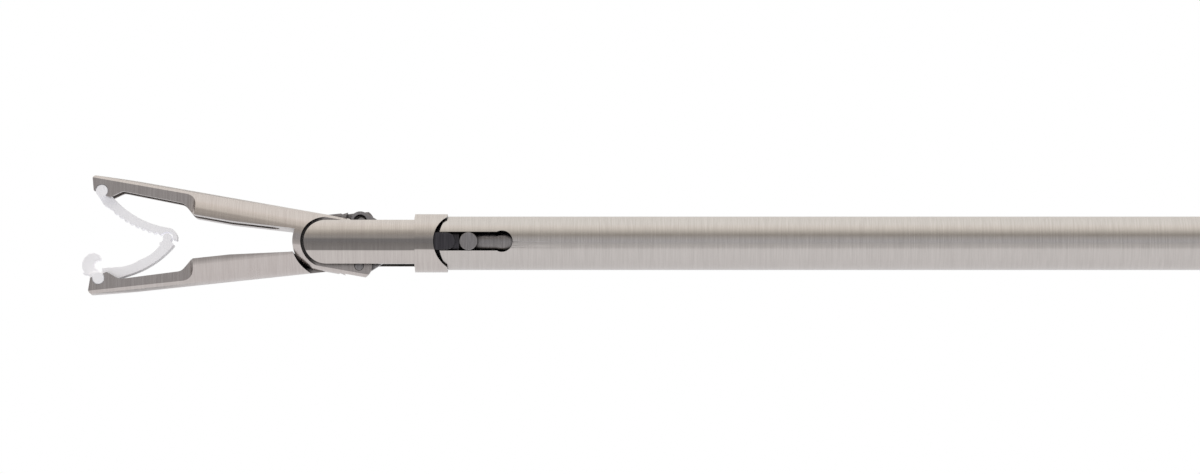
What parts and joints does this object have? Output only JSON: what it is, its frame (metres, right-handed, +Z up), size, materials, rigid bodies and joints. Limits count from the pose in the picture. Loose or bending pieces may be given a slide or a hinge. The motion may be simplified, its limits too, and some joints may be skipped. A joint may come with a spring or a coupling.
{
  "type": "surgical clip applier",
  "caption": "Long-shafted surgical clip applier: scissor-linked jaws hold an open polymer ligating clip, closed by a pistol-grip trigger through a rotating tube.",
  "frame": {"origin": "on the shaft's axis where the shaft leaves the nose of the rotation knob", "axes": "+X along the shaft from the jaws towards the handle, +Z up, away from the grip"},
  "size_m": [0.4229, 0.0248, 0.1194],
  "materials": {
    "satin_steel": "brushed around the shaft",
    "linkage_steel": "ground",
    "hub_steel": "turned",
    "spring_steel": "blued spring temper",
    "clip_polymer": "translucent moulded",
    "handle_plastic": "fine moulded texture",
    "knob_plastic": "fine moulded texture",
    "soft_grip": "soft overmoulding",
    "bearing_plastic": "turned",
    "seal_rubber": "moulded"
  },
  "bodies": {
    "handle": {"housing_left": "handle_plastic", "housing_right": "handle_plastic", "housing_screws": "hub_steel", "front_bearing": "bearing_plastic", "grip_backstrap": "soft_grip", "trigger_pivot_pin": "hub_steel", "trigger_stop_pin": "hub_steel", "return_spring": "spring_steel", "flush_port": "hub_steel"},
    "trigger": {"trigger": "handle_plastic", "trigger_pad": "soft_grip", "trigger_bushings": "bearing_plastic"},
    "shaft": {"outer_tube": "satin_steel", "shaft_hub": "hub_steel", "rotation_knob": "knob_plastic", "knob_grub_screw": "hub_steel", "hub_retaining_ring": "hub_steel", "rod_seal": "seal_rubber", "jaw_yoke": "satin_steel", "jaw_pivot_pin": "satin_steel"},
    "rod": {"drive_rod": "linkage_steel", "rod_guides": "bearing_plastic", "rod_ball": "linkage_steel", "crosshead": "linkage_steel", "crosshead_pin": "linkage_steel", "slot_pin": "linkage_steel"},
    "upper_jaw": {"upper_jaw": "satin_steel", "upper_tail_pin": "linkage_steel"},
    "lower_jaw": {"lower_jaw": "satin_steel", "lower_tail_pin": "linkage_steel"},
    "bottom_link": {"bottom_link": "linkage_steel"},
    "top_link": {"top_link": "linkage_steel"},
    "clip_upper_arm": {"clip_upper_arm": "clip_polymer"},
    "clip_lower_arm": {"clip_lower_arm": "clip_polymer"}
  },
  "joints": [
    {"name": "trigger_pull", "type": "hinge", "parent": "handle", "child": "trigger", "pos_m": [0.048, 0, 0.004], "axis": [0, -1, 0], "range_deg": [0, 7.37], "stiffness_Nm_per_rad": 0.6, "springref_deg": -6.88, "deforming": ["return_spring"]},
    {"name": "shaft_spin", "type": "hinge", "parent": "handle", "child": "shaft", "pos_m": [0, 0, 0], "axis": [1, 0, 0], "continuous": true},
    {"name": "rod_slide", "type": "slide", "parent": "shaft", "child": "rod", "axis": [1, 0, 0], "range_m": [0, 0.0005145]},
    {"name": "upper_jaw_pivot", "type": "hinge", "parent": "shaft", "child": "upper_jaw", "pos_m": [-0.3074, 0, 0], "axis": [0, -1, 0], "range_deg": [0, 10]},
    {"name": "lower_jaw_pivot", "type": "hinge", "parent": "shaft", "child": "lower_jaw", "pos_m": [-0.3074, 0, 0], "axis": [0, 1, 0], "range_deg": [0, 6.1]},
    {"name": "bottom_link_pivot", "type": "hinge", "parent": "rod", "child": "bottom_link", "pos_m": [-0.30086, 0, 0], "axis": [0, 1, 0], "range_deg": [0, 8.23]},
    {"name": "top_link_pivot", "type": "hinge", "parent": "rod", "child": "top_link", "pos_m": [-0.30086, 0, 0], "axis": [0, -1, 0], "range_deg": [0, 6.71]},
    {"name": "upper_boss_pivot", "type": "hinge", "parent": "upper_jaw", "child": "clip_upper_arm", "pos_m": [-0.32834, 0, 0.00481], "axis": [0, -1, 0], "range_deg": [0, 15.54]},
    {"name": "lower_boss_pivot", "type": "hinge", "parent": "lower_jaw", "child": "clip_lower_arm", "pos_m": [-0.32862, 0, -0.00337], "axis": [0, 1, 0], "range_deg": [0, 17.97]}
  ],
  "couplings": [
    {"joint": "rod_slide", "follows": "trigger_pull", "m_per_rad": 0.0040001},
    {"joint": "upper_jaw_pivot", "follows": "trigger_pull", "ratio": 1.357},
    {"joint": "lower_jaw_pivot", "follows": "trigger_pull", "ratio": 0.82774},
    {"joint": "bottom_link_pivot", "follows": "trigger_pull", "ratio": 1.1169},
    {"joint": "top_link_pivot", "follows": "trigger_pull", "ratio": 0.91062},
    {"joint": "upper_boss_pivot", "follows": "trigger_pull", "ratio": 2.1087},
    {"joint": "lower_boss_pivot", "follows": "trigger_pull", "ratio": 2.4383}
  ]
}
